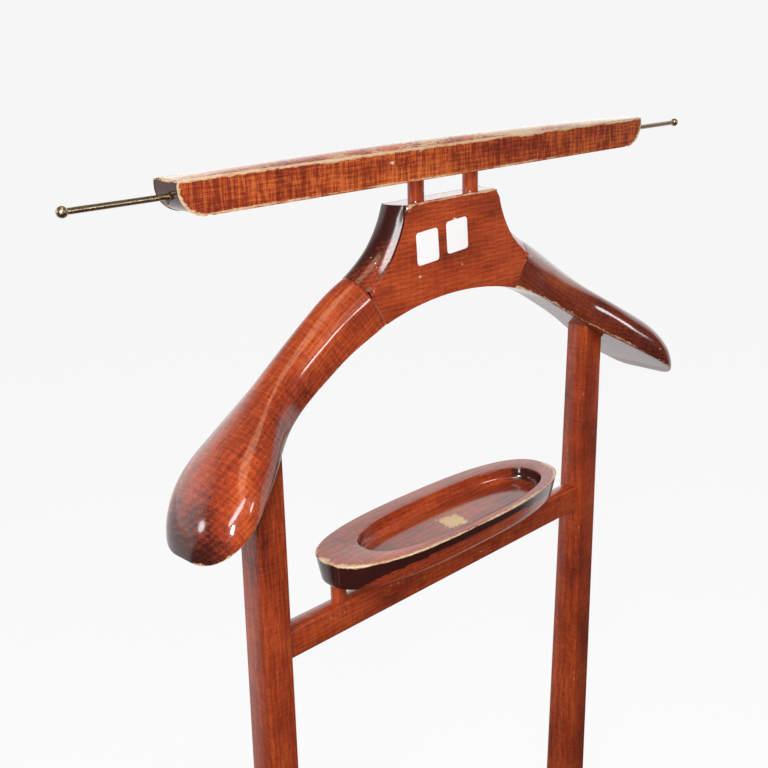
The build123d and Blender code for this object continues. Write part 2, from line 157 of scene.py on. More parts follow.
# %% Room: bright behind the stand, dim on the camera's side
ROOM_BRIGHT, ROOM_DIM, BACKDROP = 1.5, 0.02, 0.92
TO_BACK_WALL = (0.50, 0.87, 0.0)

world = bpy.data.worlds.new("studio")
bpy.context.scene.world = world
world.use_nodes = True
tree = world.node_tree
tree.nodes.clear()
direction = add_node(tree, "ShaderNodeTexCoord").outputs["Generated"]
backward = maths(tree, "MULTIPLY", maths(tree, "ADD", reach_along(tree, direction, TO_BACK_WALL), 1.0), 0.5)
height = add_node(tree, "ShaderNodeSeparateXYZ", {"Vector": direction}).outputs["Z"]
behind = ramp(tree, backward, (0.50, 0.0), (0.62, 1.0))
low_down = ramp(tree, height, (0.38, 1.0), (0.72, 0.10))
room = maths(tree, "MAXIMUM", maths(tree, "MULTIPLY", behind, low_down), ROOM_DIM)
lit = add_node(tree, "ShaderNodeBackground", {"Color": room, "Strength": ROOM_BRIGHT})
plain = add_node(tree, "ShaderNodeBackground", {"Color": (BACKDROP, BACKDROP, BACKDROP, 1), "Strength": 1.0})
seen = add_node(tree, "ShaderNodeLightPath").outputs["Is Camera Ray"]
both = add_node(tree, "ShaderNodeMixShader", {0: seen, 1: lit.outputs[0], 2: plain.outputs[0]})
add_node(tree, "ShaderNodeOutputWorld", {"Surface": both.outputs[0]})
print("room", ROOM_BRIGHT, "behind,", ROOM_DIM, "in front")

# %% [markdown]
# ## Lamps
# Each bright spot on the lacquer is a lamp seen in it. A small lamp gives the point on the arm's
# round end, and a long strip gives the line down the yoke's arris. Every lamp is placed by the way
# to it from the stand's top, because that is what decides where its reflection falls.

# %% Lamps
LAMPS = (
    # name, way from the stand's top, the lamp's long side, distance, size, power, colour
    ("key", (-0.728, -0.654, 0.203), (0, 0, 1), 1.085, (0.22, 0.22), 12.5, (1.0, 0.96, 0.90)),
    ("fill", (0.20, -0.86, 0.47), (1, 0, 0), 3.4, (1.1, 1.1), 3.0, (1.0, 0.95, 0.88)),
    ("front_strip", (-0.50, -0.62, 0.57), (0.80, -0.34, 0.33), 1.8, (1.8, 0.34), 24.0, (1.0, 0.98, 1.0)),
    ("left_lamp", (-0.87, 0.47, 0.17), (0, 0, 1), 1.9, (0.28, 0.28), 3.0, (0.96, 0.97, 1.0)),
    ("right_lamp", (0.43, -0.88, 0.20), (1, 0, 0), 1.8, (0.44, 0.26), 5.0, (1.0, 0.98, 1.0)),
    ("overhead", (-0.13, -0.20, 0.97), (0.13, 0.20, 0.06), 1.7, (1.50, 0.80), 8.5, (1.0, 0.78, 0.50)),
)
STAND_TOP = Vector((-0.10, 0.0, 0.95))
for name, way, long_side, distance, size, power, colour in LAMPS:
    lamp = bpy.data.lights.new(name, "AREA")
    lamp.shape, lamp.size, lamp.size_y, lamp.energy, lamp.color = "ELLIPSE", *size, power, colour
    holder = bpy.data.objects.new(name, lamp)
    toward = Vector(way).normalized()
    short = toward.cross(Vector(long_side)).normalized()
    turned = Matrix((short.cross(toward), short, toward)).transposed().to_4x4()
    holder.matrix_world = Matrix.Translation(STAND_TOP + toward * distance) @ turned
    holder.visible_camera = False
    bpy.context.scene.collection.objects.link(holder)
print(len(LAMPS), "lamps")

# %% [markdown]
# ## Floor
# The stand is on a plain pale floor. A plain white sheet would throw light up into every front
# face, so the lacquer sees a floor that is bright behind the stand and dim before it, as the room
# is. The eye sees one even pale floor that takes a soft shadow.

# %% Floor
FLOOR_HALF, FLOOR_Z = 90.0, -0.0005
FLOOR_COLOUR, FLOOR_LIFT = (0.13, 0.13, 0.132, 1), 0.885

floor_mesh = bpy.data.meshes.new("floor")
corners = [(x * FLOOR_HALF, y * FLOOR_HALF, FLOOR_Z) for x, y in ((-1, -1), (1, -1), (1, 1), (-1, 1))]
floor_mesh.from_pydata(corners, [], [(0, 1, 2, 3)])
floor = bpy.data.objects.new("floor", floor_mesh)
bpy.context.scene.collection.objects.link(floor)

paint = bpy.data.materials.new("floor_paint")
paint.use_nodes = True
tree = paint.node_tree
tree.nodes.clear()
place = add_node(tree, "ShaderNodeTexCoord").outputs["Object"]
backward = maths(tree, "ADD", maths(tree, "MULTIPLY", reach_along(tree, place, TO_BACK_WALL), 0.5), 0.5)
bounce = ramp(tree, backward, (0.62, 0.02), (0.74, 0.9))
bounced = add_node(tree, "ShaderNodeEmission", {"Color": bounce, "Strength": 1.0})
matte = add_node(tree, "ShaderNodeBsdfDiffuse", {"Color": FLOOR_COLOUR})
lift = add_node(tree, "ShaderNodeEmission", {"Color": (1, 1, 1, 1), "Strength": FLOOR_LIFT})
pale = add_node(tree, "ShaderNodeAddShader", {0: matte.outputs[0], 1: lift.outputs[0]})
seen = add_node(tree, "ShaderNodeLightPath").outputs["Is Camera Ray"]
both = add_node(tree, "ShaderNodeMixShader", {0: seen, 1: bounced.outputs[0], 2: pale.outputs[0]})
add_node(tree, "ShaderNodeOutputMaterial", {"Surface": both.outputs[0]})
floor_mesh.materials.append(paint)
print("floor", 2 * FLOOR_HALF, "m across")

# %% [markdown]
# ## Stained and lacquered beech
# Every wooden piece is beech under a red-brown stain and a clear gloss lacquer. Flat pictures of
# wood would show a join wherever two faces meet, so the grain is a solid pattern that runs through
# the piece: growth rings round an axis outside it, fine pores stretched along the grain, and soft
# curl across it. End grain drinks the stain and is the darkest.


# %% Grain: places and stretched noise
STAIN_LIGHT = (0.52, 0.112, 0.026)
STAIN = (0.25, 0.036, 0.012)
STAIN_DARK = (0.030, 0.0075, 0.0065)
RING_AXIS = (0.0, 0.11, 0.05)   # metres from the piece to the middle of the trunk


def plank_place(tree, place, turn, seed):
    """Places with X turned along the grain; the seed picks another part of the plank."""
    along = add_node(tree, "ShaderNodeMapping", {"Vector": place, "Rotation": turn}, vector_type="TEXTURE")
    shift = (seed, 0.37 * seed, 0.61 * seed)
    return add_node(tree, "ShaderNodeVectorMath", {0: along.outputs[0], 1: shift}).outputs[0]


def streaks(tree, along, scale, detail, rough=0.5, distort=0.0):
    """Noise with so many waves to the metre along the grain and in the two ways across it."""
    scaled = add_node(tree, "ShaderNodeVectorMath", {0: along, 1: scale}, operation="MULTIPLY")
    noise = add_node(tree, "ShaderNodeTexNoise", {
        "Vector": scaled.outputs[0], "Scale": 1.0, "Detail": detail, "Roughness": rough,
        "Distortion": distort})
    return noise.outputs["Fac"]


# %% Stain: how light each place is
def stain_shade(tree, along, pores, facing, figure, flecks, end_stain):
    """0 where the stain is deepest, 1 where it is lightest. facing is 1 on end grain."""
    ring_place = add_node(tree, "ShaderNodeVectorMath", {0: along, 1: RING_AXIS}).outputs[0]
    wave = add_node(tree, "ShaderNodeTexWave", {
        "Vector": ring_place, "Scale": 105.0, "Distortion": 3.0, "Detail": 2.0, "Detail Scale": 0.8},
        wave_type="RINGS", rings_direction="X")
    bands = ramp(tree, wave.outputs["Fac"], (0.0, 0.0), (0.75, 0.75), (1.0, 1.0))
    tone = ramp(tree, streaks(tree, along, (14, 45, 45), 3.0), (0.3, 0.0), (0.7, 1.0))
    curl = ramp(tree, streaks(tree, along, (620, 75, 75), 3.0, 0.7, 0.3), (0.38, 0.0), (0.62, 1.0))
    rays = ramp(tree, streaks(tree, along, (900, 260, 2400), 1.0, 0.5), (0.60, 0.0), (0.72, 1.0))
    end_grain = maths(tree, "POWER", maths(tree, "ABSOLUTE", facing), 1.8)

    shade = maths(tree, "ADD", 0.22, maths(tree, "MULTIPLY", tone, 0.36))
    shade = maths(tree, "ADD", shade, maths(tree, "MULTIPLY", bands, 0.10))
    shade = maths(tree, "ADD", shade, maths(tree, "MULTIPLY", curl, 0.40 * figure))
    shade = maths(tree, "SUBTRACT", shade, maths(tree, "MULTIPLY", pores, 0.24))
    shade = maths(tree, "SUBTRACT", shade, maths(tree, "MULTIPLY", rays, 0.25 * flecks))
    return maths(tree, "SUBTRACT", shade, maths(tree, "MULTIPLY", end_grain, end_stain), clamp=True)


# %% [markdown]
# ## Wear
# The lacquer has small chips that show pale beech, and where hands and hangers rub, the stain is
# gone along the arrises. Chips are ragged cells of a Voronoi pattern, gathered in places. Rubbing
# follows the shape, which a solid pattern can't know, so each fine mesh carries a "wear" value that
# is 1 on such an arris and fades beside it.


# %% Chips and rubbed arrises
RUBBED_STAIN = (0.40, 0.18, 0.075)
BARE_BEECH = (0.54, 0.41, 0.27)


def chipped(tree, along, chips):
    """1 on the small ragged places where lacquer and stain have broken off."""
    long_cells = add_node(tree, "ShaderNodeVectorMath", {0: along, 1: (120, 230, 230)}, operation="MULTIPLY")
    inputs = {"Vector": long_cells.outputs[0], "Scale": 1.0}
    cells = add_node(tree, "ShaderNodeTexVoronoi", inputs, feature="F1")
    ragged = maths(tree, "MULTIPLY", streaks(tree, along, (900, 1700, 1700), 3.0, 0.7), 0.34)
    size = add_node(tree, "ShaderNodeSeparateColor", {"Color": cells.outputs["Color"]}).outputs[0]
    gathered = ramp(tree, streaks(tree, along, (16, 22, 22), 1.0), (0.42, 0.0), (0.60, 1.0))
    reach = maths(tree, "MULTIPLY", ramp(tree, size, (1 - 0.45 * chips, 0.0), (1.0, 1.0)), 0.38)
    reach = maths(tree, "MULTIPLY", reach, maths(tree, "ADD", 0.35, maths(tree, "MULTIPLY", gathered, 0.75)))
    return maths(tree, "GREATER_THAN", reach, maths(tree, "ADD", cells.outputs["Distance"], ragged))


def rubbed_through(tree, along):
    """1 where the wear value outdoes a patchy noise, so that the rubbed edge is uneven."""
    wear = add_node(tree, "ShaderNodeAttribute", attribute_name="wear").outputs["Fac"]
    broad = ramp(tree, streaks(tree, along, (22, 90, 90), 3.0, 0.6), (0.38, 0.0), (0.62, 1.0))
    fine = ramp(tree, streaks(tree, along, (260, 700, 700), 3.0, 0.7), (0.35, 0.0), (0.65, 1.0))
    patchy = maths(tree, "ADD", maths(tree, "MULTIPLY", broad, 0.55), maths(tree, "MULTIPLY", fine, 0.45))
    rubbed = maths(tree, "SUBTRACT", maths(tree, "MULTIPLY", wear, 1.35), patchy)
    return maths(tree, "MULTIPLY", rubbed, 1.8, clamp=True)


# %% [markdown]
# ## Gilding
# A small square of gold leaf was pressed into the tray's floor, and most of its edge has flaked
# off. It has no thickness, so it isn't a mesh but a part of the tray's finish. A turned square in
# object coordinates says where it is, a noise eats its edge, and a test of the height keeps it on
# the floor of the pool.

# %% Gilding
GILT = (0.62, 0.40, 0.13)
GILT_MID, GILT_HALF, GILT_TURN = (0.0, -6.5), (10.5, 10.0), -12.0
POOL_DEPTH = 10.0
tray_low, tray_high = (Vector(c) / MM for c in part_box("tray"))


def gilt_left(tree, place):
    """1 where gold leaf is left on the tray's floor."""
    square = add_node(tree, "ShaderNodeMapping", {
        "Vector": place, "Location": (GILT_MID[0] * MM, GILT_MID[1] * MM, 0),
        "Rotation": (0, 0, math.radians(GILT_TURN)),
        "Scale": (GILT_HALF[0] * MM, GILT_HALF[1] * MM, 1.0)}, vector_type="TEXTURE")
    sides = add_node(tree, "ShaderNodeSeparateXYZ", {"Vector": square.outputs[0]}).outputs
    outward = maths(tree, "MAXIMUM", maths(tree, "ABSOLUTE", sides["X"]), maths(tree, "ABSOLUTE", sides["Y"]))
    inputs = {"Vector": place, "Scale": 420.0, "Detail": 5.0, "Roughness": 0.75}
    lost = ramp(tree, add_node(tree, "ShaderNodeTexNoise", inputs).outputs["Fac"], (0.34, 1.0), (0.66, -0.2))
    edge = maths(tree, "SUBTRACT", 1.15, outward)
    edge = maths(tree, "SUBTRACT", edge, maths(tree, "MULTIPLY", lost, 0.62))
    height = add_node(tree, "ShaderNodeSeparateXYZ", {"Vector": place}).outputs["Z"]
    on_floor = maths(tree, "COMPARE", height, (tray_high.z - POOL_DEPTH) * MM, within=0.001)
    return maths(tree, "MULTIPLY", maths(tree, "MULTIPLY", edge, 9.0, clamp=True), on_floor)


# %% [markdown]
# ## The whole finish
# One function puts stain, chips, wear and gilding together under the lacquer. The lacquer is the
# shader's own clear coat. The pores and the broken edges are too fine to model and only dent the
# shine, so they are bump.


# %% Wood under lacquer
def stained_wood(name, grain, light=STAIN_LIGHT, middle=STAIN, figure=0.5, flecks=0.5, chips=0.5,
                 worn=True, seed=0.0, painted_side_shade=False, gilded=False, end_stain=0.85):
    """Lacquered beech whose grain runs along X turned by grain (degrees about X, Y, Z)."""
    material = bpy.data.materials.new(name)
    material.use_nodes = True
    tree = material.node_tree
    tree.nodes.clear()
    place = add_node(tree, "ShaderNodeTexCoord").outputs["Object"]
    turn = tuple(math.radians(a) for a in grain)
    along = plank_place(tree, place, turn, seed)
    normal = add_node(tree, "ShaderNodeTexCoord").outputs["Normal"]
    facing = reach_along(tree, normal, Euler(turn).to_matrix() @ Vector((1, 0, 0)))
    pores = ramp(tree, streaks(tree, along, (70, 1500, 1500), 3.0, 0.65), (0.38, 0.0), (0.64, 1.0))
    shade = stain_shade(tree, along, pores, facing, figure, flecks, end_stain)
    # Painted shade: a mesh value darkens the tray's downward-leaning outer sides.
    if painted_side_shade:
        painted_shade_amount = add_node(tree, "ShaderNodeAttribute", attribute_name="painted_side_shade").outputs["Fac"]
        shade = maths(tree, "SUBTRACT", shade, maths(tree, "MULTIPLY", painted_shade_amount, 0.8), clamp=True)
    colour = ramp(tree, shade, (0.0, STAIN_DARK), (0.42, middle), (0.95, light))

    bare = chipped(tree, along, chips)
    if worn:
        rubbed = rubbed_through(tree, along)
        bare = maths(tree, "MAXIMUM", bare, rubbed)
        colour = mix_colour(tree, maths(tree, "MULTIPLY", rubbed, 3.0, clamp=True), colour, RUBBED_STAIN)
    colour = mix_colour(tree, bare, colour, BARE_BEECH)
    metal = gilt_left(tree, place) if gilded else 0.0
    if gilded:
        colour = mix_colour(tree, metal, colour, GILT)

    rough = maths(tree, "ADD", maths(tree, "MULTIPLY", bare, 0.2), 0.36)
    dent = maths(tree, "ADD", maths(tree, "MULTIPLY", pores, -0.10), maths(tree, "MULTIPLY", bare, -1.0))
    bump = add_node(tree, "ShaderNodeBump", {"Height": dent, "Strength": 0.22, "Distance": 0.00012})
    shader = add_node(tree, "ShaderNodeBsdfPrincipled", {
        "Base Color": colour, "Roughness": rough, "Metallic": metal, "Normal": bump.outputs[0],
        "Coat Weight": 1.0, "Coat Roughness": 0.12, "Coat IOR": 1.5, "Specular IOR Level": 0.05})
    add_node(tree, "ShaderNodeOutputMaterial", {"Surface": shader.outputs[0]})
    return material


# %% [markdown]
# ## One plank for each piece
# The pieces were sawn from different planks, so each has its own seed, and its grain runs along its
# length: down the arms, up the uprights, front to back in the feet. The bar has the liveliest
# figure. The right arm's colours are darker than the left one's, as painted shade for the light
# that falls off toward the right.

# %% Wood finishes
ARM_GRAIN = 33.0    # degrees that the arms' grain falls away from level
WOODS = {
    "bar": stained_wood("bar_front_wood", (0, 0, 0), light=(0.62, 0.155, 0.034), middle=(0.20, 0.028, 0.011),
                        figure=0.85, flecks=1.0, chips=0.5, seed=0.3),
    "yoke": stained_wood("yoke_wood", (0, 0, 0), light=(0.62, 0.14, 0.033), middle=(0.31, 0.047, 0.015),
                         figure=0.25, flecks=0.5, chips=0.7, seed=1.7),
    "arm_left": stained_wood("left_arm_wood", (0, -ARM_GRAIN, 0), figure=0.5, flecks=0.5, chips=0.3,
                             seed=2.9),
    # The right arm's darker stain colours are painted shade: less lamp light reaches it than the left arm.
    "arm_right": stained_wood("right_arm_painted_shade_wood", (0, ARM_GRAIN, 0), light=(0.36, 0.085, 0.024),
                              middle=(0.15, 0.026, 0.012), figure=0.4, flecks=0.5, chips=0.5, seed=4.1),
    "post": stained_wood("post_wood", (0, 90, 0), figure=0.3, flecks=0.6, chips=0.12, seed=5.3),
    "rail": stained_wood("rail_wood", (0, 0, 0), figure=0.4, flecks=0.5, chips=0.05, seed=6.7),
    # The tray's finish darkens its outer sides as painted shade.
    "tray": stained_wood("tray_wood", (0, 0, 0), figure=0.35, flecks=0.4, chips=0.12, seed=8.9,
                         painted_side_shade=True, gilded=True),
    "foot": stained_wood("foot_wood", (0, 0, 90), figure=0.3, flecks=0.5, chips=0.2, worn=False, seed=9.7,
                         end_stain=0.4),
    "dowel": stained_wood("dowel_wood", (0, 90, 0), figure=0.1, flecks=0.3, chips=0.1, worn=False,
                          seed=11.3),
    "shoe_rail": stained_wood("shoe_rail_wood", (0, 0, 0), figure=0.4, flecks=0.5, chips=0.1, worn=False,
                              seed=6.9),
}
print(len(WOODS), "wood finishes")


# %% [markdown]
# ## Plain finishes
# The rods are brass that has gone brown in patches, their mouths are darker, and the glides, nails
# and paper labels are plain. None has a grain, so a soft mottle over one colour is enough.


# %% Plain finishes
def plain_finish(name, colour, mottled, roughness, metallic=0.0, mottle_scale=900.0):
    """One colour with soft patches of another."""
    material = bpy.data.materials.new(name)
    material.use_nodes = True
    tree = material.node_tree
    tree.nodes.clear()
    place = add_node(tree, "ShaderNodeTexCoord").outputs["Object"]
    noise = add_node(tree, "ShaderNodeTexNoise", {"Vector": place, "Scale": mottle_scale, "Detail": 4.0})
    patch = ramp(tree, noise.outputs["Fac"], (0.40, 0.0), (0.62, 1.0))
    shader = add_node(tree, "ShaderNodeBsdfPrincipled", {
        "Base Color": mix_colour(tree, patch, colour, mottled), "Roughness": roughness, "Metallic": metallic})
    add_node(tree, "ShaderNodeOutputMaterial", {"Surface": shader.outputs[0]})
    return material


PLAIN = {
    "raw_beech": plain_finish("raw_beech", (0.66, 0.48, 0.30), (0.58, 0.40, 0.24), 0.7),
    "brass": plain_finish("aged_brass", (0.46, 0.37, 0.24), (0.24, 0.17, 0.11), 0.34, 1.0),
    "dark_brass": plain_finish("dark_brass", (0.20, 0.15, 0.10), (0.09, 0.06, 0.045), 0.42, 1.0, 700.0),
    "paper": plain_finish("label_paper", (0.76, 0.76, 0.79), (0.73, 0.73, 0.76), 0.7),
    "nylon": plain_finish("glide_nylon", (0.62, 0.58, 0.50), (0.52, 0.48, 0.40), 0.45),
    "steel": plain_finish("nail_steel", (0.55, 0.55, 0.57), (0.40, 0.40, 0.42), 0.35, 1.0),
}
print(len(PLAIN), "plain finishes")


# %% [markdown]
# ## Meshes from rings
# Most pieces here are one closed skin over a row of rings with the same number of points. Boxes
# with a bevel would give the plain pieces, but the arms and the tray change section all the way, and
# rings follow any section. The quads stay in order, so rounded arrises are smooth, and flat caps get
# a few inner rings so that wear fades out before the middle.


# %% Ring skin helper
SHARP_FROM = math.radians(50)


def skin(name, rings, finish, wear=None, painted_side_shade=None):
    """A closed mesh over rings of points. A ring of one point closes that end to a pole.
    The wear function gives how bare the wood is at a point, and the other function how much painted shade
    darkens it there."""
    points, starts = [], []
    for ring in rings:
        starts.append(len(points))
        points.extend(ring)
    faces = []
    for (a, b), (ring, following) in zip(zip(starts, starts[1:]), zip(rings, rings[1:])):
        count = max(len(ring), len(following))
        for i in range(count):
            j = (i + 1) % count
            if len(ring) == 1:
                faces.append((a, b + i, b + j))
            elif len(following) == 1:
                faces.append((a + i, a + j, b))
            else:
                faces.append((a + i, a + j, b + j, b + i))
    for start, ring in ((starts[0], rings[0]), (starts[-1], rings[-1])):
        if len(ring) > 1:
            faces.append(tuple(range(start, start + len(ring))))
    mesh = bpy.data.meshes.new(name)
    mesh.from_pydata([tuple(c * MM for c in p) for p in points], [], faces)
    shell = bmesh.new()
    shell.from_mesh(mesh)
    bmesh.ops.recalc_face_normals(shell, faces=shell.faces)
    shell.to_mesh(mesh)
    shell.free()
    mesh.materials.append(finish)
    mesh.polygons.foreach_set("use_smooth", [True] * len(mesh.polygons))
    mesh.set_sharp_from_angle(angle=SHARP_FROM)
    for layer_name, amount in (("wear", wear), ("painted_side_shade", painted_side_shade)):
        if amount:
            layer = mesh.attributes.new(layer_name, "FLOAT", "POINT")
            layer.data.foreach_set("value", [amount(Vector(p)) for p in points])
    piece = bpy.data.objects.new(name, mesh)
    bpy.context.scene.collection.objects.link(piece)
    print(name, len(mesh.polygons), "faces")
    return piece


# %% Curves, spacing and fading
def through(stations, x):
    """A smooth curve through (x, value) stations, read at x."""
    if x <= stations[0][0]:
        return stations[0][1]
    for i in range(len(stations) - 1):
        (x0, v0), (x1, v1) = stations[i], stations[i + 1]
        if x <= x1:
            xa, va = stations[max(i - 1, 0)]
            xb, vb = stations[min(i + 2, len(stations) - 1)]
            start, end = (v1 - va) / (x1 - xa) * (x1 - x0), (vb - v0) / (xb - x0) * (x1 - x0)
            t = (x - x0) / (x1 - x0)
            return ((2 * t ** 3 - 3 * t ** 2 + 1) * v0 + (t ** 3 - 2 * t ** 2 + t) * start
                    + (3 * t ** 2 - 2 * t ** 3) * v1 + (t ** 3 - t ** 2) * end)
    return stations[-1][1]


def spread(start, end, count, last=False):
    """Evenly spaced values; the end itself is left out unless last is set."""
    steps = count - 1 if last else count
    return [start + (end - start) * i / steps for i in range(count)]


def fade(distance, reach):
    """1 on an arris, 0 at reach millimetres from it."""
    return max(0.0, 1.0 - distance / reach)


def mm_box(node):
    """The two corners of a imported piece's box, in millimetres."""
    low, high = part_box(node)
    return Vector(low) / MM, Vector(high) / MM


def done(piece, body, slot, *nodes):
    """Attaches the piece to its body and hides the imported pieces it replaces; the slot is not used."""
    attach(piece, body)
    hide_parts(*nodes)


# %% [markdown]
# ## Boards
# The bar and the yoke are both sawn from a board and then rounded. A bevel modifier would give one
# radius everywhere, but here the arris is crisp at the back and soft at the front, and the yoke's
# outline changes with depth. So a board is rings again, one outline for each depth, and the arris is
# a few rings that draw in as they near the face.

# %% Board helper
ROUNDING = [math.radians(a) for a in (0, 15, 30, 45, 60, 75)]
CAP_STEPS = (0.9, 2.0, 3.4, 5.0)    # how far inside the face's edge its inner rings lie


def board(name, outline, depth, finish, heart, wear, arris=(1.2, 1.2)):
    """A board standing in the XZ plane. outline(y) gives (x, z, round) points in order round it;
    round is the arris radius there, at most arris. heart(x, z) is a point well inside that the
    front and back faces shrink to."""
    front, back = depth

    def arris_ring(y, turn, toward):
        largest = arris[0] if toward > 0 else arris[1]
        loop = outline(y + toward * largest * (1 - math.cos(turn)))
        ring = []
        for i, (x, z, r) in enumerate(loop):
            xa, za, _ = loop[i - 1]
            xb, zb, _ = loop[(i + 1) % len(loop)]
            out = Vector((zb - za, -(xb - xa))).normalized()
            inset = r * (1 - math.sin(turn))
            ring.append(Vector((x - out.x * inset, y + toward * r * (1 - math.cos(turn)), z - out.y * inset)))
        return ring

    def shrunk(ring, step):
        result = []
        for p in ring:
            hx, hz = heart(p.x, p.z)
            reach = Vector((hx - p.x, 0, hz - p.z))
            result.append(p + reach.normalized() * min(step, reach.length * 0.8))
        return result

    first, final = arris_ring(front, 0, 1), arris_ring(back, 0, -1)
    rings = [shrunk(first, step) for step in reversed(CAP_STEPS)]
    rings += [arris_ring(front, turn, 1) for turn in ROUNDING]
    flat = spread(front + arris[0] + 0.1, back - arris[1] - 0.1, 26, True)
    rings += [arris_ring(y, math.pi / 2, 0) for y in flat]
    rings += [arris_ring(back, turn, -1) for turn in reversed(ROUNDING)]
    rings += [shrunk(final, step) for step in CAP_STEPS]
    return skin(name, rings, finish, wear)


def softened(points, radius_of):
    """Adds an arris radius to (x, z, side) points: small near a corner between two sides."""
    corners = [Vector((x, z)) for i, (x, z, side) in enumerate(points) if side != points[i - 1][2]]
    result = []
    for x, z, side in points:
        nearest = min((Vector((x, z)) - c).length for c in corners)
        result.append((x, z, min(radius_of[side], 0.3 + 0.4 * nearest)))
    return result


# %% [markdown]
# ## Trouser bar
# The bar is a long stick with flat faces, a domed top that swells to mid length and lower corners
# cut round at both ends. Years of trousers have rubbed the top's front arris down to bare beech. It
# is a board whose top rises toward the middle of its depth, which makes the dome.

# %% Bar
bar_low, bar_high = mm_box("trouser_bar")
BAR_HALF, BAR_DEPTH = bar_high.x, bar_high.y - bar_low.y
CROWN_MID, CROWN_END = 4.0, 1.2     # the dome's height at mid length and at the ends
BAR_ARRIS_Z, BAR_BASE_Z = bar_high.z - CROWN_MID, bar_low.z
END_RUN, END_RISE = 18.0, 15.5      # the round lower corners
BAR_FRONT_ARRIS = {"top": 1.1, "end": 1.0, "base": 0.8}
BAR_BACK_ARRIS = {"top": 0.4, "end": 0.3, "base": 0.3}


def bar_outline(y):
    """The bar's outline at one depth, clockwise from the left end of its top."""
    across = 1 - (2 * y / BAR_DEPTH) ** 2
    side = []
    for x in spread(-BAR_HALF, BAR_HALF, 150):
        crown = CROWN_END + (CROWN_MID - CROWN_END) * (1 - (x / BAR_HALF) ** 2)
        side.append((x, BAR_ARRIS_Z + crown * across, "top"))
    shoulder = BAR_BASE_Z + END_RISE
    end_top = BAR_ARRIS_Z + CROWN_END * across
    side += [(BAR_HALF, z, "end") for z in spread(end_top, shoulder, 8)]
    turn = [(BAR_HALF - END_RUN + END_RUN * math.cos(a), shoulder - END_RISE * math.sin(a))
            for a in spread(0, math.pi / 2, 24)]
    side += [(x, z, "end") for x, z in turn]
    side += [(x, BAR_BASE_Z, "base") for x in spread(BAR_HALF - END_RUN, END_RUN - BAR_HALF, 140)]
    side += [(-x, z, "end") for x, z in [(BAR_HALF - END_RUN, BAR_BASE_Z)] + list(reversed(turn))[:-1]]
    side += [(-BAR_HALF, z, "end") for z in spread(shoulder, end_top, 8)]
    return softened(side, BAR_FRONT_ARRIS if y < 0 else BAR_BACK_ARRIS)


def bar_wear(p):
    """Bare along the front arris of the top, and thinly over the dome and the other front arrises."""
    inward = p.y + BAR_DEPTH / 2
    top = fade(math.hypot(inward, (p.z - BAR_ARRIS_Z - 0.8) * 0.8), 2.2)
    base = 0.60 * fade(math.hypot(inward, p.z - BAR_BASE_Z), 1.3)
    end = 0.0
    if abs(p.x) > BAR_HALF - END_RUN:
        run = (abs(p.x) - BAR_HALF + END_RUN) / END_RUN
        drop = max(0.0, BAR_BASE_Z + END_RISE - p.z) / END_RISE
        end = 0.68 * fade(math.hypot(inward, END_RISE * max(0.0, 1 - math.hypot(run, drop))), 1.7)
    dome = 0.50 if p.z > BAR_ARRIS_Z - 0.6 and inward > 1 else 0.0
    return max(top, base, end, dome)


def bar_heart(x, z):
    """The nearest place on a line through the middle of the bar."""
    return max(-BAR_HALF + 20, min(BAR_HALF - 20, x)), (BAR_ARRIS_Z + BAR_BASE_Z) / 2


bar_faces = (-BAR_DEPTH / 2, BAR_DEPTH / 2)
bar = board("trouser_bar_fine", bar_outline, bar_faces, WOODS["bar"], bar_heart, bar_wear)
done(bar, "stand", "bar_wood", "trouser_bar")

# %% [markdown]
# ## Yoke
# The hanger's middle is cut from one board. Its front is flat, and its sides sweep down to the
# shoulder seams and bulge toward the back. So the outline at each depth is the back one drawn in by
# a power of the depth, and a broad soft arris down the front of each side catches the light.

# %% Yoke
yoke_low, yoke_high = mm_box("yoke")
YOKE_FRONT, YOKE_BACK, YOKE_TOP_Z = yoke_low.y, yoke_high.y, yoke_high.z
SWELL_Y, SIDE_POWER, BACK_ROUND = 6.4, 2.2, 1.2     # the sides are fullest at the depth SWELL_Y
YOKE_ARRIS = 2.8
YOKE_FRONT_ARRIS = {"top": 1.0, "side": YOKE_ARRIS, "seam": 0.2, "under": 0.6}
YOKE_BACK_ARRIS = {"top": 0.05, "side": 0.3, "seam": 0.2, "under": 0.6}
SEAM_FOOT, SEAM_DIR = (64.9, 967.4), (0.527, 0.850)
# The right side at its fullest: X, Z, outward direction, and how far the front arris lies inside.
YOKE_SIDE = (
    (48.9, 1039.9, 1.0, 0.0, 7.0), (53.4, 1029.3, 0.94, 0.34, 8.3), (59.6, 1019.4, 0.8, 0.6, 9.8),
    (67.7, 1010.4, 0.68, 0.73, 11.4), (80.0, 1001.2, 0.55, 0.83, 12.6), (104.0, 986.6, 0.53, 0.85, 13.0),
)


def arch_z(x):
    """Height of the hanger's underside."""
    return 977.1 - 0.00205 * x * x - 3.3e-8 * x ** 4


def yoke_side_at(y, s):
    """A point down the right side at depth y; s runs 0 to 1 over the side's stations."""
    t = max(0.0, (SWELL_Y - y) / (SWELL_Y - YOKE_FRONT))
    rows = []
    for x, z, nx, nz, swell in YOKE_SIDE:
        inset = swell * t ** SIDE_POWER
        if y > SWELL_Y:
            inset = BACK_ROUND * (1 - math.sqrt(max(0.0, 1 - ((y - SWELL_Y) / (YOKE_BACK - SWELL_Y)) ** 2)))
        rows.append((x - inset * nx, z - inset * nz))
    place = s * (len(rows) - 1)
    return (through([(i, r[0]) for i, r in enumerate(rows)], place),
            through([(i, r[1]) for i, r in enumerate(rows)], place))


def beyond_seam(x, z):
    """More than 0 on the arm's side of the slanted seam."""
    return (x - SEAM_FOOT[0]) * SEAM_DIR[1] - (z - SEAM_FOOT[1]) * SEAM_DIR[0]


